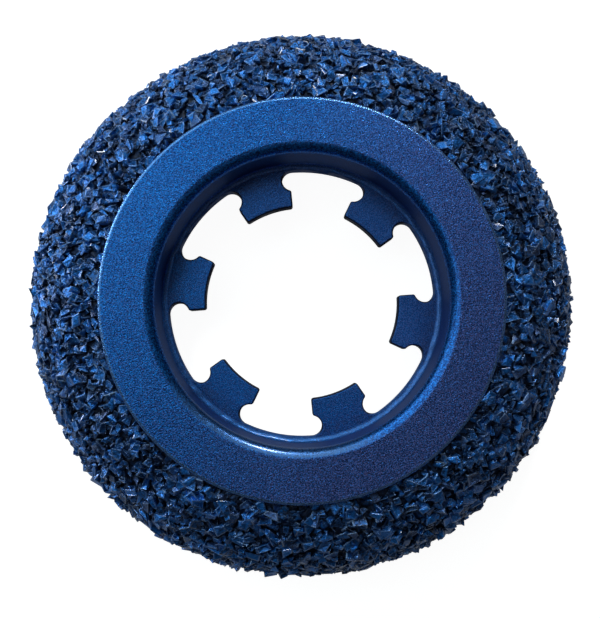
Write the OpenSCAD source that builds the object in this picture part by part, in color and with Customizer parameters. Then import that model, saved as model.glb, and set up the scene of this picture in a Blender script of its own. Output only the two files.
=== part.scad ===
// Carbide grit traction wheel: a coated steel ring with a crowned, grit-covered tread.
// A plate with six bayonet lugs is let into the bore and locks the wheel on its drive hub.
// The axis is Z. The back face lies on z = 0 and the front face looks up. Sizes are in millimetres.

/* [Wheel] */
// Diameter over the tips of the grit
wheel_d = 150; // [140:1:170]
// Width from the back face to the front face
wheel_w = 34; // [33:0.5:38]
// Diameter of the flat front face
face_d = 105; // [102:0.5:110]
// Drop from the front face to the bed that carries the grit
face_step = 3.2; // [2.5:0.1:4.5]
// Radius on the outer edge of the front face
face_edge_r = 0.9; // [0.3:0.1:1.2]
// Height of the widest point of the tread above the back face
crown_z = 9; // [8:0.5:12]

/* [Bore] */
// Diameter of the bore in front of the lugs
front_bore_d = 76; // [75.6:0.2:78]
// Radius of the rounded lip between the front face and the bore
front_lip_r = 2.9; // [1.5:0.1:3.5]
// Diameter of the bore behind the lugs, which takes the drive hub
back_bore_d = 82; // [80:0.2:86]
// Radius of the rounded lip between the back face and the bore
back_lip_r = 1.5; // [0.8:0.1:2.5]
// Depth from the front face to the front of the lugs
lug_depth = 17; // [14:0.5:18]

/* [Lug plate] */
// Number of bayonet lugs
lug_count = 6; // [4:1:6]
// Diameter of the circle that the lug tips lie on
lug_tip_d = 52.6; // [50:0.2:54]
// Thickness of the lug plate
lug_t = 5; // [3:0.5:6]
// Angle between the sides of one lug's head
lug_head_angle = 28.8; // [26:0.2:31]
// Diameter of the round wall outside the windows between the lugs
window_d = 73.2; // [72.4:0.2:73.4]
// Width of the round-ended slot that undercuts the lugs
slot_w = 5.7; // [5:0.1:6]
// Radius on the corners of the lugs
lug_corner_r = 0.7; // [0.4:0.1:0.9]

/* [Grit] */
// Height that the grit stands above its bond, on average
grit_h = 1.8; // [1.4:0.1:2.2]
// Thickness of the braze bond that holds the grit
bond_t = 0.7; // [0.4:0.1:1]
// Rows of grains across the tread
grit_rows = 16; // [12:1:16]
// Length of tread that one grain takes up along its row
grain_pitch = 3.75; // [3.6:0.05:6]
// Choice of the random grain shapes
grit_seed = 11; // [1:1:99]

/* [Hidden] */
$fn = 96;

face_r = face_d / 2;
front_bore_r = front_bore_d / 2;
back_bore_r = back_bore_d / 2;
lug_tip_r = lug_tip_d / 2;
window_r = window_d / 2;

// The tread's bed is one arc from the foot of the face step, over the widest point, to the back face.
bed_r = wheel_d / 2 - grit_h - bond_t;
bed_run = bed_r - face_r;
bed_rise = wheel_w - face_step - crown_z;
crown_rad = (bed_run * bed_run + bed_rise * bed_rise) / (2 * bed_run);
crown_r = bed_r - crown_rad;
grit_rad = crown_rad + bond_t;

// The lug plate stands on a ledge and a braze fillet runs round its front edge.
lug_front_z = wheel_w - lug_depth;
lug_back_z = lug_front_z - lug_t;
fillet_r = 1.7;
fillet_land = 0.2;
fillet_leg = fillet_r + fillet_land;
fillet_gap = 0.1;
groove_depth = 0.6;
groove_r = front_bore_r + groove_depth;
seat_step = 0.4;
seat_r = front_bore_r - seat_step;
ledge_clear = 0.7;
ledge_r = window_r + ledge_clear;
ledge_t = 1.5;

// The windows between the lugs: a round-ended slot under the lug heads, opened towards the axis.
lug_step = 360 / lug_count;
gap_half = (lug_step - lug_head_angle) / 2;
slot_end_r = slot_w / 2;
slot_mid_r = window_r - slot_end_r;
slot_overlap = 0.55;
waste_overlap = 0.1;
slot_end_angle = gap_half - asin(slot_overlap / slot_mid_r);

// The grit covers the tread from the face step to just above the back face.
bond_edge_z = 0.8;
first_row_gap = 1.4;
first_row_angle = acos((face_r + first_row_gap - crown_r) / grit_rad);
last_row_angle = -16;
row_angle = (first_row_angle - last_row_angle) / (grit_rows - 1);
row_half = grit_rad * row_angle * PI / 360;
eps = 0.01;

function row_name(k) = str("grit_row_", k < 10 ? "0" : "", k);
function polar(r, a) = [r * cos(a), r * sin(a)];

// The arc of one slice of the tread, in the half plane of radius and height.
module tread_disc(radius) {
    translate([crown_r, crown_z]) circle(radius);
}

// Everything at or outside radius r, between two heights.
module band(r, z0, z1) {
    translate([r, z0]) square([wheel_d, z1 - z0]);
}

// The waste outside a rounded corner: the corner's square less the rounding circle.
// flip_r and flip_z are 1 or -1 and point from the rounding's centre to the corner.
module round_off(centre, radius, flip_r, flip_z) {
    difference() {
        translate(centre) scale([flip_r, flip_z]) square(radius + eps);
        translate(centre) circle(radius);
    }
}

module rim_section() {
    difference() {
        union() {
            intersection() {
                tread_disc(crown_rad);
                band(ledge_r, 0, wheel_w);
            }
            translate([ledge_r, 0]) square([face_r - ledge_r, wheel_w]);
        }
        translate([0, lug_back_z]) square([seat_r, wheel_w]);
        translate([0, lug_front_z]) square([groove_r, fillet_leg + fillet_gap]);
        translate([0, lug_front_z]) square([front_bore_r, wheel_w]);
        translate([0, -eps]) square([back_bore_r, lug_back_z - ledge_t + eps]);
        round_off([front_bore_r + front_lip_r, wheel_w - front_lip_r], front_lip_r, -1, 1);
        round_off([back_bore_r + back_lip_r, back_lip_r], back_lip_r, -1, -1);
        round_off([face_r - face_edge_r, wheel_w - face_edge_r], face_edge_r, 1, 1);
    }
}

module rim() {
    color("royalblue") rotate_extrude() rim_section();
}

function rotate_point(p, a) = [p.x * cos(a) - p.y * sin(a), p.x * sin(a) + p.y * cos(a)];

// One side of a window: the waste that rounds the lug's tip corner and its shoulder.
// Each piece of waste runs a little past the edge it cuts, so that no sliver stays.
module lug_corners() {
    side = gap_half;
    tip_turn = asin(lug_corner_r / (lug_tip_r + lug_corner_r));
    tip_centre = polar(lug_tip_r + lug_corner_r, side + tip_turn);
    overlap_turn = asin(waste_overlap / lug_tip_r);
    difference() {
        polygon([
            polar(lug_tip_r - waste_overlap, side - overlap_turn),
            polar(lug_tip_r - waste_overlap, side + tip_turn),
            tip_centre,
            polar((lug_tip_r + lug_corner_r) * cos(tip_turn), side - overlap_turn)
        ]);
        translate(tip_centre) circle(lug_corner_r);
    }
    // The shoulder's rounding touches the lug's side and the round end of the slot.
    reach = slot_end_r + lug_corner_r;
    along = slot_mid_r * cos(gap_half - slot_end_angle)
        - sqrt(reach * reach - pow(lug_corner_r + slot_overlap, 2));
    shoulder = rotate_point([along, lug_corner_r], side);
    slot_end = polar(slot_mid_r, slot_end_angle);
    touch = slot_end + (shoulder - slot_end) * (slot_end_r - waste_overlap) / reach;
    difference() {
        polygon([
            rotate_point([along, -waste_overlap], side),
            rotate_point([along + lug_corner_r, -waste_overlap], side),
            touch,
            shoulder
        ]);
        translate(shoulder) circle(lug_corner_r);
    }
}

module window() {
    reach = window_d;
    intersection() {
        difference() {
            circle(window_r);
            circle(window_r - slot_w);
        }
        polygon([[0, 0], polar(reach, -slot_end_angle), polar(reach, slot_end_angle)]);
    }
    intersection() {
        circle(slot_mid_r);
        polygon([[0, 0], polar(reach, -gap_half), polar(reach, gap_half)]);
    }
    for (side = [-1, 1]) {
        translate(polar(slot_mid_r, side * slot_end_angle)) circle(slot_end_r);
        scale([1, side]) lug_corners();
    }
}

module lug_plate() {
    color("royalblue")
        translate([0, 0, lug_back_z])
            linear_extrude(lug_t)
                difference() {
                    circle(seat_r);
                    circle(lug_tip_r);
                    for (k = [0:lug_count - 1]) rotate(k * lug_step) window();
                }
}

module braze_fillet() {
    color("mediumblue")
        rotate_extrude()
            difference() {
                translate([groove_r - fillet_leg, lug_front_z]) square(fillet_leg);
                translate([groove_r - fillet_leg, lug_front_z + fillet_leg]) circle(fillet_r);
            }
}

module grit_bond() {
    color("midnightblue")
        rotate_extrude()
            difference() {
                intersection() {
                    tread_disc(grit_rad);
                    band(face_r, bond_edge_z, wheel_w);
                }
                tread_disc(crown_rad);
            }
}

// A point near the bond's surface: tread angle t, angle round the axis phi, then distances
// round the axis, up the tread and out from the surface.
function tread_point(t, phi, around, across, out) =
    let (
        normal = [cos(t) * cos(phi), cos(t) * sin(phi), sin(t)],
        round_dir = [-sin(phi), cos(phi), 0],
        cross_dir = [-sin(t) * cos(phi), -sin(t) * sin(phi), cos(t)]
    )
    [crown_r * cos(phi), crown_r * sin(phi), crown_z]
    + (grit_rad + out) * normal + around * round_dir + across * cross_dir;

// The line between two rows wanders across the tread, so that the rows don't show as rings.
ROW_WANDER = 0.22;
function row_line(line, phi) =
    let (wave = sin(11 * phi + 137 * line) + sin(19 * phi + 71 * line))
    line < 1 || line >= grit_rows ? 0 : row_half * ROW_WANDER * wave;

// The ranges of a grain's shape, as shares of its cell, of the grit's height and of its tall crest.
CORNER_SLIDE = [0, 0.45];
CORNER_PULL = [0.82, 0.96];
CREST_LEAN = [-0.35, 0.35];
CREST_REACH = [0.15, 0.45];
TALL_SHARE = [0.6, 1.35];
SHORT_SHARE = [0.35, 0.95];
CELL_CORNERS = [[-1, -1], [1, -1], [1, 1], [-1, 1]];
GRAIN_FACES = [[0, 1, 2], [0, 2, 3], [0, 4, 5], [0, 5, 1], [1, 5, 2], [2, 5, 4], [2, 4, 3], [3, 4, 0]];
GRAIN_NUMBERS = 14;
GRAIN_WIDTHS = [0.7, 1.3];

function pick(range, u) = range[0] + (range[1] - range[0]) * u;

// One crushed grain: a four-cornered foot on the bond and a ridge of two crests above it.
// low and high bound its foot across the row. u holds the grain's random numbers from 0 to 1.
// Each foot corner slides along one side of the grain's cell, the same way round for all four.
function grain_points(t, phi, half_around, low, high, u) =
    let (
        mid = (low + high) / 2,
        half_across = (high - low) / 2,
        way = u[9] < 0.5 ? 1 : 0,
        foot = [for (k = [0:3])
            let (
                corner = CELL_CORNERS[k],
                next = CELL_CORNERS[(k + (way ? 1 : 3)) % 4],
                slid = corner + (next - corner) * pick(CORNER_SLIDE, u[k]),
                spot = slid * pick(CORNER_PULL, u[10 + k])
            )
            [spot.x * half_around, mid + spot.y * half_across]],
        across_row = u[4] < 0.5 ? 1 : 0,
        lean = pick(CREST_LEAN, u[5]),
        reach = pick(CREST_REACH, u[6]),
        end = across_row
            ? [lean * half_around, -reach * half_across]
            : [-reach * half_around, lean * half_across],
        tall = grit_h * pick(TALL_SHARE, u[7]),
        short = tall * pick(SHORT_SHARE, u[8]),
        swap = u[9] * 2 % 1 < 0.5
    )
    concat(
        [for (k = [0:3]) let (f = foot[(k + across_row) % 4]) tread_point(t, phi, f.x, f.y, 0)],
        [tread_point(t, phi, end.x, mid + end.y, swap ? short : tall)],
        [tread_point(t, phi, -end.x, mid - end.y, swap ? tall : short)]
    );

module grit_row(row) {
    t = first_row_angle - (row - 1) * row_angle;
    row_r = crown_r + grit_rad * cos(t);
    count = floor(2 * PI * row_r / grain_pitch);
    widths = rands(GRAIN_WIDTHS[0], GRAIN_WIDTHS[1], count, grit_seed + 200 + row);
    starts = [for (j = 0, sum = 0; j < count; sum = sum + widths[j], j = j + 1) sum];
    turn = 360 / (starts[count - 1] + widths[count - 1]);
    stagger = rands(0, 360, 1, grit_seed + 100 + row)[0];
    u = rands(0, 1, count * GRAIN_NUMBERS, grit_seed + row);
    points = [for (j = [0:count - 1])
        let (
            phi = stagger + turn * (starts[j] + widths[j] / 2),
            half_around = row_r * turn * widths[j] * PI / 360,
            low = row_line(row, phi) - row_half,
            high = row_line(row - 1, phi) + row_half,
            numbers = [for (m = [0:GRAIN_NUMBERS - 1]) u[j * GRAIN_NUMBERS + m]]
        )
        each grain_points(t, phi, half_around, low, high, numbers)];
    faces = [for (j = [0:count - 1]) for (f = GRAIN_FACES) [for (v = f) v + 6 * j]];
    color("royalblue") polyhedron(points, faces);
}

rim();
lug_plate();
braze_fillet();
grit_bond();
for (k = [1:grit_rows]) {
    grit_row(k);
}
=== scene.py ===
# Carbide grit traction wheel: a coated steel rim with a brazed grit tread and six bayonet lugs.
# The axis is Z, the back face lies on z = 0 and the front face looks up. Meshes are worked out in
# millimetres and written in metres.
import bpy
import numpy as np
from mathutils import Matrix, Vector


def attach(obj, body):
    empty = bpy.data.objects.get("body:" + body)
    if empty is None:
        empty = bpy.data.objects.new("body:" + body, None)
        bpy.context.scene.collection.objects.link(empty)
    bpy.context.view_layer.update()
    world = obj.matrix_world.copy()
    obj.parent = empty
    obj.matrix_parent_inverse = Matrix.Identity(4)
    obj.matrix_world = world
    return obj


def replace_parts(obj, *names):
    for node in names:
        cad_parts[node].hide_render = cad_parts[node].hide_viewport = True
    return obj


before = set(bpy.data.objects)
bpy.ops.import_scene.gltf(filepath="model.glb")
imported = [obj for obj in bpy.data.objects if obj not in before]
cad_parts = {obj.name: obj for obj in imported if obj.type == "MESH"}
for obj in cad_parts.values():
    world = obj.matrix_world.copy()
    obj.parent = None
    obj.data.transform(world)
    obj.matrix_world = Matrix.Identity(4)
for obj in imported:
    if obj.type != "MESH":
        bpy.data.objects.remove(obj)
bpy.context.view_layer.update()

# Rim
# One turned steel ring: a flat front face, a rounded lip into the bore and a crowned bed for the
# grit. It is sprayed all over with a metallic blue coat, grainy on the face and smooth in the bore.
# The coat turns greyer towards one side, partly as painted sheen. One stretch of the lip is greyer
# and glossier: a painted highlight where the window lamp's highlight falls.
COAT_PIT = (0.004, 0.004, 0.030, 1)
COAT_PALE = (0.095, 0.122, 0.380, 1)
COAT_PALE_GREYER_SHEEN = (0.150, 0.130, 0.340, 1)
COAT_FLAKE_GREYER_SHEEN = (0.100, 0.300, 0.930, 1)
COAT_DEEP = (0.001, 0.040, 0.200, 1)
COAT_BRIGHT = (0.020, 0.305, 0.990, 1)
COAT_LIP = (0.003, 0.190, 0.690, 1)
COAT_LIP_PAINTED_HIGHLIGHT = (0.040, 0.115, 0.300, 1)
COAT_WALL = (0.030, 0.064, 0.180, 1)
COAT_EDGE_THIN_AND_HIGHLIGHT = (0.220, 0.450, 0.850, 1)
CLOUD_SCALE, SPECKLE_SCALE, FLAKE_SCALE, METAL_SCALE, PEEL_SCALE = 60, 3000, 3500, 12000, 1200
GREYER_SHEEN_SPAN, RIM_SHEEN_HEADING = (-0.03, 0.03), -40
LIP_HIGHLIGHT_SPAN, LIP_HIGHLIGHT_HEADING = (0.025, 0.036), -125
WALL_SPAN_R, WALL_SPAN_LOW, WALL_SPAN_HIGH = (0.0387, 0.0393), (0.0165, 0.0170), (0.0312, 0.0322)
LIP_SPAN_R, LIP_SPAN_Z = (0.0401, 0.0407), (0.0312, 0.0317)
EDGE_SPAN_R, EDGE_SPAN_Z = (0.0515, 0.0519), (0.0330, 0.0334)
FACE_R, FACE_Z, FACE_EDGE = 52.5, 34.0, 0.9
CROWN_R, CROWN_Z, BED_RAD = 50.619, 9.0, 21.881
BORE_R, LIP = 38.0, 2.9
GROOVE_R, GROOVE_Z = 38.6, 19.0
SEAT_R, SEAT_TOP, SEAT_LOW = 37.6, 17.0, 12.0
LEDGE_R, LEDGE_LOW = 37.3, 10.5
BACK_BORE_R, BACK_LIP = 41.0, 1.5
TURNED_STEPS, SHARP_ANGLE = 480, np.radians(35)
FLAT_MARGIN, FLAT_SHARE = 0.1, 0.3


class Shade:
    """A socket of one finish. Arithmetic on it adds Math nodes, and make() adds any other node."""

    def __init__(self, tree, socket=None):
        self.tree = tree
        self.socket = socket

    def make(self, kind, settings=None, sockets=None, out=0):
        """Adds a node. Its settings are set first, then each socket takes a value or a link."""
        node = self.tree.nodes.new("ShaderNode" + kind)
        for name, value in (settings or {}).items():
            setattr(node, name, value)
        for key, value in (sockets or {}).items():
            if isinstance(value, Shade):
                self.tree.links.new(value.socket, node.inputs[key])
            else:
                node.inputs[key].default_value = value
        return Shade(self.tree, node.outputs[out] if len(node.outputs) else None)

    def maths(self, operation, *terms):
        """Adds one Math node on these terms."""
        return self.make("Math", {"operation": operation}, dict(enumerate(terms)))

    def __add__(self, other):
        return self.maths("ADD", self, other)

    def __sub__(self, other):
        return self.maths("SUBTRACT", self, other)

    def __rsub__(self, other):
        return self.maths("SUBTRACT", other, self)

    def __mul__(self, other):
        return self.maths("MULTIPLY", self, other)

    __radd__ = __add__
    __rmul__ = __mul__

    def rise(self, low, high):
        """0 below low, 1 above high, and a smooth step between them."""
        smooth = {"interpolation_type": "SMOOTHSTEP"}
        return self.make("MapRange", smooth, {0: self, 1: low, 2: high})

    def mix(self, first, second):
        """The first colour where this value is 0 and the second where it is 1."""
        return self.make("Mix", {"data_type": "RGBA"}, {0: self, 6: first, 7: second}, out=2)


def new_finish(name):
    """An empty material and the Object coordinates that its patterns are laid out on."""
    finish = bpy.data.materials.new(name)
    finish.use_nodes = True
    finish.node_tree.nodes.clear()
    return finish, Shade(finish.node_tree).make("TexCoord", out="Object")


def set_surface(place, sockets):
    """Ends a finish in one Principled shader with these sockets."""
    shader = place.make("BsdfPrincipled", None, sockets)
    place.make("OutputMaterial", None, {"Surface": shader})


def noise(place, scale, detail):
    """Noise from about 0 to 1, with scale features to the metre."""
    return place.make("TexNoise", None, {"Vector": place, "Scale": scale, "Detail": detail})


def axis_radius(place):
    """Distance from the wheel's axis."""
    flat = place.make("VectorMath", {"operation": "MULTIPLY"}, {0: place, 1: (1, 1, 0)})
    return place.make("VectorMath", {"operation": "LENGTH"}, {0: flat}, out="Value")


def cells(place, scale):
    """A random number from 0 to 1 for each cell of a crowd, with scale cells to the metre."""
    crowd = place.make("TexVoronoi", None, {"Vector": place, "Scale": scale}, out="Color")
    return place.make("SeparateColor", None, {0: crowd}, out="Red")


def along(place, heading):
    """How far a place lies from the axis towards a heading, in degrees from +X."""
    way = (np.cos(np.radians(heading)), np.sin(np.radians(heading)), 0)
    return place.make("VectorMath", {"operation": "DOT_PRODUCT"}, {0: place, 1: way}, out="Value")


def coat_pattern(place, heading):
    """The coat's colour, share of metal, relief and grain.

    Blue flakes lie in a binder of dark pits and pale specks. Both are greyer towards the heading.
    """
    cloud = noise(place, CLOUD_SCALE, 3.0).rise(0.3, 0.7)
    fine = noise(place, SPECKLE_SCALE, 1.0)
    speckle = fine.rise(0.25, 0.8)
    flake = cells(place, FLAKE_SCALE)
    grain = 0.6 * flake * flake + 0.4 * speckle
    metal = cells(place, METAL_SCALE).rise(0.25, 0.45)
    # Greyer and paler towards the heading: partly a greyer coat, partly painted sheen.
    greyer_and_sheen = along(place, heading).rise(*GREYER_SHEEN_SPAN)
    flakes = (0.06 * cloud + grain - 0.03).mix(COAT_DEEP, greyer_and_sheen.mix(COAT_BRIGHT, COAT_FLAKE_GREYER_SHEEN))
    binder = speckle.rise(0.28, 0.66).mix(COAT_PIT, greyer_and_sheen.mix(COAT_PALE, COAT_PALE_GREYER_SHEEN))
    relief = 0.25 * noise(place, PEEL_SCALE, 1.0) + 0.75 * fine
    return metal.mix(binder, flakes), metal, relief, grain


def rim_finish():
    """Grainy metallic coat, smooth and grey on the bore wall, shiny on the lip, pale at the edge."""
    finish, place = new_finish("rim_coat")
    colour, metal, relief, grain = coat_pattern(place, RIM_SHEEN_HEADING)
    radius = axis_radius(place)
    height = place.make("SeparateXYZ", None, {0: place}, out="Z")
    level = height.rise(*WALL_SPAN_LOW) * (1 - height.rise(*WALL_SPAN_HIGH))
    wall = (1 - radius.rise(*WALL_SPAN_R)) * level
    lip = height.rise(*LIP_SPAN_Z) * (1 - radius.rise(*LIP_SPAN_R))
    edge = radius.rise(*EDGE_SPAN_R) * height.rise(*EDGE_SPAN_Z)
    # Painted highlight: the stretch of the lip facing away from the window lamp, where its highlight
    # falls.
    lip_painted_highlight = along(place, LIP_HIGHLIGHT_HEADING).rise(*LIP_HIGHLIGHT_SPAN) * lip
    shine = grain.rise(0.15, 0.70).mix(COAT_DEEP, COAT_LIP)
    colour = (0.6 * wall).mix(colour, COAT_WALL)
    colour = (0.85 * lip).mix(colour, shine)
    # The painted highlight's greyer colour. The coat weight below adds gloss on the same stretch.
    colour = (0.7 * lip_painted_highlight).mix(colour, COAT_LIP_PAINTED_HIGHLIGHT)
    # Pale along the face's edge: partly thinner coat, partly painted highlight.
    colour = (0.45 * edge).mix(colour, COAT_EDGE_THIN_AND_HIGHLIGHT)
    metal = metal + (0.6 * lip + 0.5 * edge) * (1 - metal)
    normal = place.make("Bump", None, {
        "Strength": 1.0, "Distance": 0.00016, "Height": relief * (1 - 0.8 * wall - 0.6 * lip),
    })
    set_surface(place, {
        "Base Color": colour, "Metallic": metal,
        "Roughness": 0.20 + 0.12 * grain + 0.05 * lip + 0.3 * wall,
        "Specular IOR Level": 0.15, "Specular Tint": (0.6, 0.66, 0.85, 1),
        "Coat Weight": (0.1 * grain + 0.3 * lip + 0.6 * lip_painted_highlight) * (1 - wall),
        "Coat Roughness": 0.18, "Normal": normal,
    })
    return finish


def arc(centre, radius, start, end, count):
    """Points round a circle from one angle to another, as complex numbers, without the last."""
    return centre + radius * np.exp(1j * np.linspace(start, end, count, endpoint=False))


def walls(*corners):
    """Points along straight walls from corner to corner, without the last corner.

    Each wall has a point close to either end, so that its shading stays flat between them.
    """
    first, last = np.array(corners[:-1]), np.array(corners[1:])
    margin = np.minimum(FLAT_MARGIN / np.abs(last - first), FLAT_SHARE)
    share = np.stack([0 * margin, margin, 1 - margin], axis=1)
    return (first[:, None] + (last - first)[:, None] * share).ravel()


def add_piece(name, points, faces, finish):
    """A new object from points in millimetres and lists of face corners, riding on the wheel."""
    mesh = bpy.data.meshes.new(name)
    mesh.from_pydata((np.asarray(points) * 0.001).tolist(), [], faces)
    mesh.materials.append(finish)
    piece = bpy.data.objects.new(name, mesh)
    bpy.context.scene.collection.objects.link(piece)
    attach(piece, "root")
    return piece


def strips(rings, count, closed):
    """Quads between neighbouring rings of count points each, and if closed from last to first."""
    ring = np.arange(rings if closed else rings - 1)[:, None]
    step = np.arange(count)[None, :]
    after, onward = (ring + 1) % rings * count, (step + 1) % count
    quads = [ring * count + step, ring * count + onward, after + onward, after + step]
    return np.stack(quads, axis=-1).reshape(-1, 4)


def rim_section():
    """The rim's section as complex numbers, radius + i height, anticlockwise from the back lip.

    It runs out over the back face, up the bed's arc, in over the face and its rounded edge, down
    the lip and the bore, over the groove, seat and ledge, and out by the back bore.
    """
    crown = CROWN_R + 1j * CROWN_Z
    low, high = np.arcsin(-CROWN_Z / BED_RAD), np.arccos((FACE_R - CROWN_R) / BED_RAD)
    edge = FACE_R - FACE_EDGE + 1j * (FACE_Z - FACE_EDGE)
    lip = BORE_R + LIP + 1j * (FACE_Z - LIP)
    back = BACK_BORE_R + BACK_LIP + 1j * BACK_LIP
    quarter = np.pi / 2
    return np.concatenate([
        walls(back.real, crown + BED_RAD * np.exp(1j * low)),
        arc(crown, BED_RAD, low, high, 44),
        walls(crown + BED_RAD * np.exp(1j * high), edge + FACE_EDGE),
        arc(edge, FACE_EDGE, 0, quarter, 12),
        walls(edge + 1j * FACE_EDGE, lip + 1j * LIP),
        arc(lip, LIP, quarter, 2 * quarter, 28),
        walls(
            lip - LIP, BORE_R + 1j * GROOVE_Z, GROOVE_R + 1j * GROOVE_Z, GROOVE_R + 1j * SEAT_TOP,
            SEAT_R + 1j * SEAT_TOP, SEAT_R + 1j * SEAT_LOW, LEDGE_R + 1j * SEAT_LOW,
            LEDGE_R + 1j * LEDGE_LOW, BACK_BORE_R + 1j * LEDGE_LOW, back - BACK_LIP,
        ),
        arc(back, BACK_LIP, 2 * quarter, 3 * quarter, 14),
    ])


def turned(name, section, finish):
    """A closed section carried round the axis. Point r + i z goes to r cos a, r sin a, z."""
    round_axis = np.exp(2j * np.pi * np.arange(TURNED_STEPS) / TURNED_STEPS)
    section = section.reshape(len(section), -1) + np.zeros(TURNED_STEPS)
    flat = section.real * round_axis
    cloud = np.stack([flat.real, flat.imag, section.imag], axis=-1).reshape(-1, 3)
    piece = add_piece(name, cloud, strips(len(section), TURNED_STEPS, True).tolist(), finish)
    piece.data.shade_smooth()
    piece.data.set_sharp_from_angle(angle=SHARP_ANGLE)
    return piece


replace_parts(turned("rim_turned", rim_section(), rim_finish()), "rim")

# Lug plate
# A steel plate with six bayonet lugs, cut out by a round-ended slot cutter, so that each lug's head
# is undercut. It drops into the bore from the front on to a ledge. Its edges are eased by hand.
LUGS = 6
TIP_R, WINDOW_R = 26.3, 36.6
HEAD_ANGLE, SLOT_W, LUG_CORNER = 28.8, 5.7, 0.7
SLOT_OVERLAP = 0.55
EASE_LUG, EASE_WINDOW = 0.50, 0.08
EASE_STEPS, EASE_COATED = 4, 1
EASE_FADE_R, EASE_FADE_W = 34.6, 1.6
ROOT_SHADE_SPAN, ARC_SPAN, LUG_SHEEN_HEADING = (0.0310, 0.0362), (0.0352, 0.0364), 30
LUG_BLUE = (0.006, 0.070, 0.270, 1)
LUG_PAINTED_SHADE = (0.014, 0.034, 0.100, 1)
WALL_THIN_COAT_AND_SHADE = (0.004, 0.012, 0.045, 1)
WALL_ARC = (0.006, 0.075, 0.290, 1)
WALL_STEEL = (0.075, 0.052, 0.045, 1)


def lug_outline():
    """The plate's inner outline as complex numbers, anticlockwise, and the normal into the metal.

    Half a pitch runs from the middle of a window to the middle of a lug: window wall, round end of
    the slot, shoulder, lug side, tip corner and tip. It is mirrored, then turned six times.
    """
    half_pitch = np.pi / LUGS
    side = half_pitch - np.radians(HEAD_ANGLE) / 2
    slot_r = SLOT_W / 2
    mid_r = WINDOW_R - slot_r
    end_turn = side - np.arcsin(SLOT_OVERLAP / mid_r)
    slot = mid_r * np.exp(1j * end_turn)
    reach = slot_r + LUG_CORNER
    neck = mid_r * np.cos(side - end_turn) - np.sqrt(reach**2 - (LUG_CORNER + SLOT_OVERLAP) ** 2)
    shoulder = (neck + 1j * LUG_CORNER) * np.exp(1j * side)
    touch = np.angle(shoulder - slot)
    tip_turn = np.arcsin(LUG_CORNER / (TIP_R + LUG_CORNER))
    tip = (TIP_R + LUG_CORNER) * np.exp(1j * (side + tip_turn))
    tip_side = abs(tip) * np.cos(tip_turn)
    line = np.linspace(neck, tip_side, 7)[1:-1] * np.exp(1j * side)
    window = arc(0, WINDOW_R, 0, end_turn, 22)
    slot_end = arc(slot, slot_r, end_turn, touch + 2 * np.pi * (touch < end_turn), 26)
    square = side - np.pi / 2
    bend_end = square - 2 * np.pi * (square > touch - np.pi)
    bend = arc(shoulder, LUG_CORNER, touch - np.pi, bend_end, 9)
    corner = arc(tip, LUG_CORNER, square, side + tip_turn - np.pi, 9)
    nose = arc(0, TIP_R, side + tip_turn, half_pitch, 14)
    points = np.concatenate([window, slot_end, bend, line, corner, nose])
    normals = np.concatenate([
        np.exp(1j * np.angle(window)), (slot_end - slot) / slot_r, (shoulder - bend) / LUG_CORNER,
        np.full(len(line), 1j * np.exp(1j * side)), (tip - corner) / LUG_CORNER,
        np.exp(1j * np.angle(nose)),
    ])
    middle, mirror = np.exp(1j * half_pitch), np.exp(2j * half_pitch)
    points = np.concatenate([points, [TIP_R * middle], points[:0:-1].conj() * mirror])
    normals = np.concatenate([normals, [middle], normals[:0:-1].conj() * mirror])
    turns = np.exp(2j * half_pitch * np.arange(LUGS))[:, None]
    return (turns * points).ravel(), (turns * normals).ravel()


def lug_plate():
    """The outline is carried down through the plate with its top and bottom edges rounded over.

    A ring lies ease (1 - cos a) into the metal and ease (1 - sin a) from the plate's face, for a
    from 90 to 0 degrees. Flat caps join the end rings to the plate's round edge.
    """
    points, normals = lug_outline()
    count = len(points)
    near_window = np.clip((np.abs(points) - EASE_FADE_R) / EASE_FADE_W, 0, 1)
    ease = EASE_LUG + (EASE_WINDOW - EASE_LUG) * near_window
    a = np.linspace(np.pi / 2, 0, EASE_STEPS + 1)[:, None]
    rounded = points + normals * ease * (1 - np.cos(a))
    drop = ease * (1 - np.sin(a))
    edge = SEAT_R * np.exp(2j * np.pi * np.arange(count) / count)
    flat = np.concatenate([rounded, rounded[::-1], [edge, edge]])
    low_edge, top_edge = np.full((1, count), SEAT_LOW), np.full((1, count), SEAT_TOP)
    height = np.concatenate([SEAT_TOP - drop, SEAT_LOW + drop[::-1], low_edge, top_edge])
    cloud = np.stack([flat.real, flat.imag, height], axis=-1).reshape(-1, 3)
    rings = len(flat) - 2
    sides = strips(rings, count, False)
    round_edge = strips(2, count, False) + rings * count
    sector = count // (2 * LUGS)
    inner = (np.arange(2 * LUGS)[:, None] * sector + np.arange(sector + 1)) % count
    outer = inner[:, ::-1]
    top = np.concatenate([outer + (rings + 1) * count, inner], axis=1)[:, ::-1]
    low = np.concatenate([inner + (rings - 1) * count, outer + rings * count], axis=1)[:, ::-1]
    faces = sides.tolist() + round_edge.tolist() + top.tolist() + low.tolist()
    piece = add_piece("lug_plate_eased", cloud, faces, lug_finish())
    piece.data.materials.append(cut_finish())
    number = np.arange(len(faces))
    piece.data.polygons.foreach_set("use_smooth", number < len(sides) + len(round_edge))
    cut = (number >= EASE_COATED * count) & (number < len(sides))
    piece.data.polygons.foreach_set("material_index", cut.astype(np.int32))
    piece.data.update()
    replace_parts(piece, "lug_plate")


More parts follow.
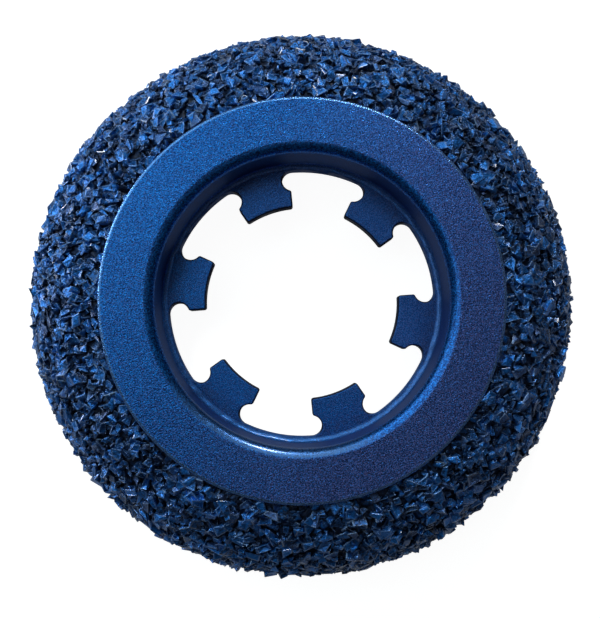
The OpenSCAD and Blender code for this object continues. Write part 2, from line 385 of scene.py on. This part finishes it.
def lug_finish():
    """The rim's coat, a little duller and more even, darker towards the lugs' roots as painted shade.
    """
    finish, place = new_finish("lug_coat_top")
    colour, metal, relief, grain = coat_pattern(place, LUG_SHEEN_HEADING)
    root = axis_radius(place).rise(*ROOT_SHADE_SPAN)
    stain = noise(place, 420, 3.0).rise(0.42, 0.62)
    colour = (0.45 - 0.2 * root).mix(colour, LUG_BLUE)
    # Painted shade: greyer and darker towards the roots, where the bore wall shades the lugs.
    colour = (0.35 * root).mix(colour, LUG_PAINTED_SHADE)
    # Brown bare steel in noise patches, only near the roots.
    colour = (0.12 * root * stain).mix(colour, WALL_STEEL)
    normal = place.make("Bump", None, {"Strength": 1.0, "Distance": 0.00012, "Height": relief})
    set_surface(place, {
        "Base Color": colour, "Metallic": metal, "Roughness": 0.36 + 0.14 * grain,
        "Specular IOR Level": 0.15, "Coat Weight": 0.08, "Coat Roughness": 0.25, "Normal": normal,
    })
    return finish


def cut_finish():
    """The cut walls: dark thin coat over steel and painted shade, brown where bare, blue between the
    lugs.
    """
    finish, place = new_finish("lug_cut_wall")
    bare = noise(place, 330, 3.0).rise(0.45, 0.62)
    # Near black on the lug sides: thin coat and painted shade.
    colour = (0.3 * bare).mix(WALL_THIN_COAT_AND_SHADE, WALL_STEEL)
    colour = axis_radius(place).rise(*ARC_SPAN).mix(colour, WALL_ARC)
    saw = noise(place, 1400, 2.0)
    normal = place.make("Bump", None, {"Strength": 0.6, "Distance": 0.0002, "Height": saw})
    set_surface(place, {
        "Base Color": colour, "Metallic": 0.2, "Roughness": 0.5 + 0.3 * bare,
        "Specular IOR Level": 0.1, "Normal": normal,
    })
    return finish


lug_plate()

# Braze fillet
# The bead of furnace braze that fixes the lug plate to the bore. It was coated with the rest, and
# its hollow face runs a little uneven round its ring.
FILLET_LEG, FILLET_RAD = 1.9, 1.7
BEAD_WAVES, BEAD_TURNS, BEAD_RISE = 14, (3, 60), 0.05
FILLET_PALE = (0.026, 0.110, 0.340, 1)


def fillet_bead():
    """A square bead with a hollow face, carried round the axis.

    Across the hollow the circle's radius falls by waves that run round the axis, times sin 2a, so
    that the bead's two edges stay where they are.
    """
    rng = np.random.default_rng(8)
    around = 2 * np.pi * np.arange(TURNED_STEPS) / TURNED_STEPS
    turns = rng.integers(*BEAD_TURNS, BEAD_WAVES)[:, None]
    phases = rng.uniform(0, 2 * np.pi, BEAD_WAVES)[:, None]
    swell = BEAD_RISE * np.cos(turns * around + phases).sum(axis=0) / np.sqrt(BEAD_WAVES / 2)
    centre = GROOVE_R - FILLET_LEG + 1j * (SEAT_TOP + FILLET_LEG)
    a = np.linspace(0, -np.pi / 2, 17)[:, None]
    hollow = centre + (FILLET_RAD - swell * np.sin(-2 * a)) * np.exp(1j * a)
    foot = walls(
        centre - 1j * FILLET_RAD, centre - 1j * FILLET_LEG, GROOVE_R + 1j * SEAT_TOP,
        GROOVE_R + centre.imag * 1j, centre + FILLET_RAD,
    )
    section = np.concatenate([foot[:, None] + 0 * around, hollow])
    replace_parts(turned("braze_bead", section, fillet_finish()), "braze_fillet")


def fillet_finish():
    """The coat over a bead: more even, shinier and slightly rippled."""
    finish, place = new_finish("fillet_coat")
    colour, metal, relief, grain = coat_pattern(place, LUG_SHEEN_HEADING)
    ripple = noise(place, 260, 2.0)
    colour = (0.35 + 0.3 * ripple).mix(colour, FILLET_PALE)
    swell = ripple + 0.25 * relief
    normal = place.make("Bump", None, {"Strength": 0.5, "Distance": 0.0003, "Height": swell})
    set_surface(place, {
        "Base Color": colour, "Metallic": 0.85 * metal, "Roughness": 0.30 + 0.14 * grain,
        "Specular IOR Level": 0.15, "Coat Weight": 0.4, "Coat Roughness": 0.18, "Normal": normal,
    })
    return finish


fillet_bead()

# Grit bond
# The layer of braze that holds the grit on the crowned bed. It has flowed into low lumps between
# the grains, and little of it shows but a dark floor to the gaps.
BOND_RAD, BOND_EDGE_Z = 22.581, 0.8
BOND_STEPS, BOND_ROWS, BED_ROWS = 720, 64, 14
LUMP_WAVES, LUMP_TURNS, LUMP_CLIMB = 36, (70, 230), 70
LUMP_RISE, LUMP_LOW, LUMP_HIGH = 0.22, -0.4, 0.45
# The first colour is the bond's own dark and also the grit's painted shade at the chips' roots.
BOND_DARK_AND_SHADE = (0.010, 0.014, 0.034, 1)
BOND_BLUE = (0.012, 0.034, 0.110, 1)


def bond_layer():
    """The section between two arcs of the tread is carried round the axis.

    Its outer arc moves out and in by a sum of waves that run round the wheel and across the tread.
    """
    def ends(rad):
        """The slopes at which an arc of that radius meets the face's edge and the back."""
        return np.arccos((FACE_R - CROWN_R) / rad), np.arcsin((BOND_EDGE_Z - CROWN_Z) / rad)

    rng = np.random.default_rng(5)
    around = np.linspace(0, 2 * np.pi, BOND_STEPS, endpoint=False)
    outer = np.linspace(*ends(BOND_RAD), BOND_ROWS)
    inner = np.linspace(*ends(BED_RAD), BED_ROWS)[::-1]
    turns = rng.integers(*LUMP_TURNS, LUMP_WAVES)[:, None, None]
    climbs = rng.uniform(-LUMP_CLIMB, LUMP_CLIMB, LUMP_WAVES)[:, None, None]
    phases = rng.uniform(0, 2 * np.pi, LUMP_WAVES)[:, None, None]
    waves = np.cos(turns * around[None, None, :] + climbs * outer[None, :, None] + phases)
    lumps = LUMP_RISE * waves.sum(axis=0) / np.sqrt(LUMP_WAVES / 2) - 0.5 * LUMP_RISE
    lumps = np.clip(lumps, LUMP_LOW, LUMP_HIGH)
    lumps[[0, -1]] = 0
    rad = np.concatenate([BOND_RAD + lumps, np.full((len(inner), len(around)), BED_RAD)])
    slope = np.concatenate([outer, inner])[:, None]
    out = CROWN_R + rad * np.cos(slope)
    height = CROWN_Z + rad * np.sin(slope)
    cloud = np.stack([out * np.cos(around), out * np.sin(around), height], axis=-1).reshape(-1, 3)
    faces = strips(len(rad), len(around), True)[:, ::-1]
    piece = add_piece("grit_bond_lumpy", cloud, faces.tolist(), bond_finish())
    piece.data.shade_smooth()
    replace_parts(piece, "grit_bond")


def bond_finish():
    """Dark blue, almost black in noise patches, with a dull shine."""
    finish, place = new_finish("bond_coat")
    patch = noise(place, 600, 3.0).rise(0.35, 0.7)
    colour = patch.mix(BOND_DARK_AND_SHADE, BOND_BLUE)
    flow = noise(place, 900, 3.0)
    normal = place.make("Bump", None, {"Strength": 0.6, "Distance": 0.0003, "Height": flow})
    set_surface(place, {
        "Base Color": colour, "Metallic": 0.4, "Roughness": 0.5 + 0.2 * patch, "Normal": normal,
    })
    return finish


bond_layer()

# Grit
# Crushed carbide chips of mixed sizes, brazed on in a dense layer and then sprayed blue. Each is a
# blocky splinter with broken, dished sides, and its edges and corners are chipped. They are grouped
# in the CAD's sixteen rows.
GRIT_ROWS = 16
FIRST_ROW, LAST_ROW = np.radians(81.645), np.radians(-16.0)
ROW_STEP = (FIRST_ROW - LAST_ROW) / (GRIT_ROWS - 1)
GRAIN_AREA, GOLDEN = 2.4, 0.618034
GRAIN_SIZE, GRAIN_SPREAD = 2.12, 0.33
GRAIN_LEAST, GRAIN_MOST = 1.0, 3.2
CORNER_SHIFT, NARROWING, LEAN = 0.2, 0.85, np.radians(27)
SHORTEST, LONGEST = (0.85, 0.55, 0.45), (1.3, 1.05, 0.95)
CHIP_LEAST, CHIP_MOST = 0.06, 0.2
DISH_IN, DISH_OUT, DISH_SHIFT = 0.6, 1.2, 0.12
RAISE_LEAST, RAISE_MOST = 0.12, 0.54
TIP_LEAST, TIP_MOST = 1.2, 2.95
ROOT_DEPTH, FLOOR_GAP, TIP_Z = 0.5, 0.06, 33.0
GRIT_DARK = (0.005, 0.026, 0.090, 1)
GRIT_BLUE = (0.018, 0.185, 0.640, 1)
GRIT_EDGE_THIN_AND_HIGHLIGHT = (0.220, 0.320, 0.500, 1)
GRIT_GREY = (0.085, 0.105, 0.210, 1)
ENDS = (-0.5, 0.5)
BLOCK_CORNERS = np.array([[x, y, z] for z in ENDS for y in ENDS for x in ENDS])
BLOCK_SIDES = np.array([
    [0, 4, 6, 2], [1, 3, 7, 5], [0, 1, 5, 4], [2, 6, 7, 3], [0, 2, 3, 1], [4, 5, 7, 6],
])
GRAIN_POINTS = 30


def chipped_faces():
    """Faces of one grain: four triangles to each dished side, a strip along each edge and a facet
    at each corner. Point 5 f + i is corner i of side f, and point 5 f + 4 is the side's middle.
    """
    sides = list(enumerate(BLOCK_SIDES))
    spot = {(f, c): 5 * f + i for f, side in sides for i, c in enumerate(side)}
    owner = {(a, b): f for f, side in sides for a, b in zip(side, np.roll(side, -1))}
    before = {(f, a): owner[b, a] for (a, b), f in owner.items()}
    dished = [[5 * f + i, 5 * f + (i + 1) % 4, 5 * f + 4] for f in range(6) for i in range(4)]
    edges = [(a, b, f, owner[b, a]) for (a, b), f in owner.items() if a < b]
    ridges = [[spot[f, b], spot[f, a], spot[g, a], spot[g, b]] for a, b, f, g in edges]
    facets = []
    for corner in range(8):
        f = next(f for f, side in sides if corner in side)
        g = before[f, corner]
        facets.append([spot[before[g, corner], corner], spot[g, corner], spot[f, corner]])
    return dished + ridges + facets


def swung(v, angle, lean, heading):
    """Vectors turned by angle about the third axis, then by lean about a level axis at heading."""
    c, s = np.cos(angle), np.sin(angle)
    v = np.stack([v[..., 0] * c - v[..., 1] * s, v[..., 0] * s + v[..., 1] * c, v[..., 2]], axis=-1)
    axis = np.stack([np.cos(heading), np.sin(heading), np.zeros_like(heading)], axis=-1) + 0 * v
    c, s = np.cos(lean)[..., None], np.sin(lean)[..., None]
    return v * c + np.cross(axis, v) * s + axis * (axis * v).sum(-1, keepdims=True) * (1 - c)


def grains(row):
    """Points of one row's grains, and each point's lift above the bond and its grain's number.

    A block's corners are shifted at random, one end is narrowed, and it is stretched, turned and
    set partly into the bond. Corner i of side f lies at C + k (M - C), with C the block's corner, M
    the middle of the side and k the width of the chipping. The middle itself moves in or out. A
    grain that would hang over the bond is stretched down into it.
    """
    rng = np.random.default_rng(300 + row)
    slope = FIRST_ROW - (row - 1) * ROW_STEP
    row_r = CROWN_R + BOND_RAD * np.cos(slope)
    count = int(2 * np.pi * row_r * BOND_RAD * ROW_STEP / GRAIN_AREA)
    index = np.arange(count)
    slope = slope + ROW_STEP * ((index * GOLDEN + rng.uniform(0, 0.5, count)) % 1 - 0.5)
    around = 2 * np.pi * (index + rng.uniform(0, 1.5, count)) / count
    size = np.exp(rng.normal(np.log(GRAIN_SIZE), GRAIN_SPREAD, count))
    size = np.clip(size, GRAIN_LEAST, GRAIN_MOST)[:, None, None]
    block = BLOCK_CORNERS + rng.uniform(-CORNER_SHIFT, CORNER_SHIFT, (count, 8, 3))
    narrow = 1 - rng.uniform(0, NARROWING, (count, 1)) * (block[..., 0] + 0.5)
    stretch = rng.uniform(SHORTEST, LONGEST, (count, 3))[:, None]
    block = block * np.stack([np.ones_like(narrow), narrow, narrow], axis=-1) * stretch * size
    block = block - block.mean(axis=1, keepdims=True)
    spin, heading = rng.uniform(0, 2 * np.pi, (2, count, 1))
    block = swung(block, spin, rng.normal(0, LEAN, (count, 1)), heading)
    side = block[:, BLOCK_SIDES]
    middle = side.mean(axis=2, keepdims=True)
    chip = rng.uniform(CHIP_LEAST, CHIP_MOST, (count, 6, 1, 1))
    corners = side + chip * (middle - side)
    middle = middle * rng.uniform(DISH_IN, DISH_OUT, (count, 6, 1, 1))
    middle = middle + rng.normal(0, DISH_SHIFT, (count, 6, 1, 3)) * size[..., None]
    v = np.concatenate([corners, middle], axis=2).reshape(count, GRAIN_POINTS, 3)
    v[..., 2] += rng.uniform(RAISE_LEAST, RAISE_MOST, (count, 1)) * size[..., 0]
    over = v[..., 2].max(axis=1) - rng.uniform(TIP_LEAST, TIP_MOST, count)
    v[..., 2] -= np.maximum(over, 0)[:, None]
    low = v[..., 2].min(axis=1, keepdims=True)
    high = v[..., 2].max(axis=1, keepdims=True)
    v[..., 2] -= np.maximum(low + ROOT_DEPTH, 0) * (high - v[..., 2]) / (high - low)
    lift = np.clip(v[..., 2] / TIP_MOST, 0, 1)
    slope, around = slope[:, None], around[:, None]
    rad = BOND_RAD + v[..., 2]
    out = CROWN_R + rad * np.cos(slope) - v[..., 1] * np.sin(slope)
    height = CROWN_Z + rad * np.sin(slope) + v[..., 1] * np.cos(slope)
    height += np.maximum(FLOOR_GAP - height.min(axis=1), 0)[:, None]
    height -= np.maximum(height.max(axis=1) - TIP_Z, 0)[:, None]
    x = out * np.cos(around) - v[..., 0] * np.sin(around)
    y = out * np.sin(around) + v[..., 0] * np.cos(around)
    number = np.repeat(rng.uniform(0, 1, count), GRAIN_POINTS)
    return np.stack([x, y, height], axis=-1).reshape(-1, 3), lift.ravel(), number


def grit_row(row, finish, pattern):
    """One row's grains as one mesh, with each point's lift, number and edge kept as attributes."""
    cloud, lift, number = grains(row)
    firsts = GRAIN_POINTS * np.arange(len(cloud) // GRAIN_POINTS)
    faces = [face for part in pattern for face in (firsts[:, None] + np.array(part)).tolist()]
    piece = add_piece(f"grit_grains_{row:02d}", cloud, faces, finish)
    edge = np.tile([1.0, 1.0, 1.0, 1.0, 0.0], 6 * len(firsts))
    for name, values in (("lift", lift), ("number", number), ("edge", edge)):
        piece.data.attributes.new(name, "FLOAT", "POINT").data.foreach_set("value", values)
    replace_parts(piece, f"grit_row_{row:02d}")


def grit_finish():
    """Blue sprayed chips: dark at the root, pale along the edges, some thinly covered and grey."""
    finish, place = new_finish("grit_coat")
    lift = place.make("Attribute", {"attribute_name": "lift"}, out="Fac")
    number = place.make("Attribute", {"attribute_name": "number"}, out="Fac")
    edge = place.make("Attribute", {"attribute_name": "edge"}, out="Fac")
    rough = noise(place, 1500, 3.0)
    shade = 0.5 * number + 1.1 * rough - 0.3
    colour = shade.rise(0.1, 0.8).mix(GRIT_DARK, GRIT_BLUE)
    grey = number.maths("FRACT", 7.3 * number).rise(0.75, 0.95)
    colour = (0.5 * grey).mix(colour, GRIT_GREY)
    # Pale along the edges: partly thin coat over grey carbide, partly painted highlight.
    colour = (0.45 * edge.rise(0.78, 1.0) * rough.rise(0.35, 0.6)).mix(colour, GRIT_EDGE_THIN_AND_HIGHLIGHT)
    # Painted shade: the chips darken towards the bond, where shade falls between them.
    colour = (0.95 - 0.95 * lift.rise(0.1, 0.6)).mix(colour, BOND_DARK_AND_SHADE)
    chips = rough + 0.5 * noise(place, 4000, 2.0)
    normal = place.make("Bump", None, {"Strength": 1.0, "Distance": 0.00025, "Height": chips})
    set_surface(place, {
        "Base Color": colour, "Metallic": 0.7, "Roughness": 0.16 + 0.28 * rough,
        "Coat Weight": (0.12 + 0.7 * edge.rise(0.75, 1.0)) * lift.rise(0.1, 0.5),
        "Coat Roughness": 0.15, "Normal": normal,
    })
    return finish


grit_coat = grit_finish()
chip_pattern = chipped_faces()
for row in range(1, GRIT_ROWS + 1):
    grit_row(row, grit_coat, chip_pattern)

# Floor, light and camera
# The wheel lies on a white table under a large soft light at the upper left. Weaker ones fill in from
# the left, a small window stands above the picture and a dim warm ceiling on the right. A low card
# picks out the edge of the face. The camera looks almost straight down.
TURN = np.radians(19.8)
RIGHT = Vector((np.cos(TURN), -np.sin(TURN), 0))
UP = Vector((np.sin(TURN), np.cos(TURN), 0))
OVER = Vector((0, 0, 1))
FACE = Vector((0, 0, 0.034))
FLOOR_Z, FLOOR_HALF = -0.0003, 2
FLOOR_GREY, FLOOR_SEEN, FLOOR_GLOSS = (0.3, 0.3, 0.3, 1), 0.95, 0.2
AMBIENT = 0.037
COOL, NEUTRAL, SUNNY, WARM = (0.7, 0.96, 1), (0.95, 0.97, 1), (1, 0.97, 0.92), (1, 0.8, 0.75)
LENS, CAMERA_AWAY = 55.91, 0.245
TILT_DOWN, TILT_LEFT = np.radians(3.2), np.radians(0.4)
AIM_RIGHT, AIM_UP = -0.00061, -0.00258


def soft_light(name, place, size, watts, colour):
    """A rectangular lamp at a place, aimed at the wheel."""
    lamp = bpy.data.lights.new(name, "AREA")
    lamp.shape = "RECTANGLE"
    lamp.size, lamp.size_y = size
    lamp.energy = watts
    lamp.color = colour
    holder = bpy.data.objects.new(name, lamp)
    holder.location = place
    holder.rotation_euler = (FACE - place).to_track_quat("-Z", "Y").to_euler()
    bpy.context.scene.collection.objects.link(holder)


def toward(right, up, zenith, distance):
    """A place at that distance from the face, zenith degrees off overhead, towards right and up."""
    level = (RIGHT * right + UP * up).normalized()
    angle = np.radians(zenith)
    return FACE + distance * (level * np.sin(angle) + OVER * np.cos(angle))


def white_floor():
    """A wide table top that shows white where it is lit and keeps the wheel's soft shadow."""
    mesh = bpy.data.meshes.new("floor")
    corners = [(-1, -1), (1, -1), (1, 1), (-1, 1)]
    points = [(FLOOR_HALF * x, FLOOR_HALF * y, FLOOR_Z) for x, y in corners]
    mesh.from_pydata(points, [], [(0, 1, 2, 3)])
    finish, place = new_finish("floor_white")
    seen = place.make("LightPath", out="Is Camera Ray")
    glossy = place.make("LightPath", out="Is Glossy Ray")
    clear = place.make("LightPath", out="Is Transmission Ray")
    matt = place.make("BsdfDiffuse", None, {"Color": FLOOR_GREY})
    shown = FLOOR_SEEN * seen + FLOOR_GLOSS * glossy + FLOOR_SEEN * clear
    glow = place.make("Emission", None, {"Strength": shown})
    both = place.make("AddShader", None, {0: matt, 1: glow})
    place.make("OutputMaterial", None, {"Surface": both})
    mesh.materials.append(finish)
    floor = bpy.data.objects.new("floor", mesh)
    bpy.context.scene.collection.objects.link(floor)


def studio_world():
    """Dim even light, which shows white to the camera."""
    world = bpy.data.worlds.new("studio")
    world.use_nodes = True
    world.node_tree.nodes.clear()
    start = Shade(world.node_tree)
    seen = start.make("LightPath", out="Is Camera Ray")
    strength = AMBIENT + (1 - AMBIENT) * seen
    sky = start.make("Background", None, {"Color": (1, 1, 1, 1), "Strength": strength})
    start.make("OutputWorld", None, {"Surface": sky})
    bpy.context.scene.world = world


def overhead_camera():
    """A camera a little below the picture's middle, upright with the picture."""
    lens = bpy.data.cameras.new("camera")
    lens.lens = LENS
    lens.clip_start, lens.clip_end = 0.01, 10
    camera = bpy.data.objects.new("camera", lens)
    back = OVER * np.cos(TILT_DOWN) - UP * np.sin(TILT_DOWN) - RIGHT * np.sin(TILT_LEFT)
    place = FACE + CAMERA_AWAY * back
    aim = FACE + AIM_RIGHT * RIGHT + AIM_UP * UP
    ahead = (aim - place).normalized()
    side = ahead.cross(UP).normalized()
    camera.matrix_world = Matrix((side, side.cross(ahead), -ahead)).transposed().to_4x4()
    camera.location = place
    bpy.context.scene.collection.objects.link(camera)
    bpy.context.scene.camera = camera


white_floor()
studio_world()
soft_light("key", toward(-0.574, 0.819, 38, 0.65), (0.70, 0.70), 2.0, COOL)
soft_light("window", toward(0.24, 0.97, 57, 0.8), (0.10, 0.10), 2.2, SUNNY)
soft_light("side", toward(-0.80, 0.60, 68, 1.0), (1.0, 0.6), 1.75, COOL)
soft_light("left", toward(-1, 0, 28, 1.0), (0.30, 0.60), 0.2, COOL)
soft_light("card", toward(-0.95, 0.31, 90.5, 0.8), (0.4, 0.03), 3.2, NEUTRAL)
soft_light("ceiling", toward(0.94, -0.34, 16, 1.3), (0.9, 0.9), 0.38, WARM)
overhead_camera()
bpy.context.scene.view_settings.view_transform = "Standard"
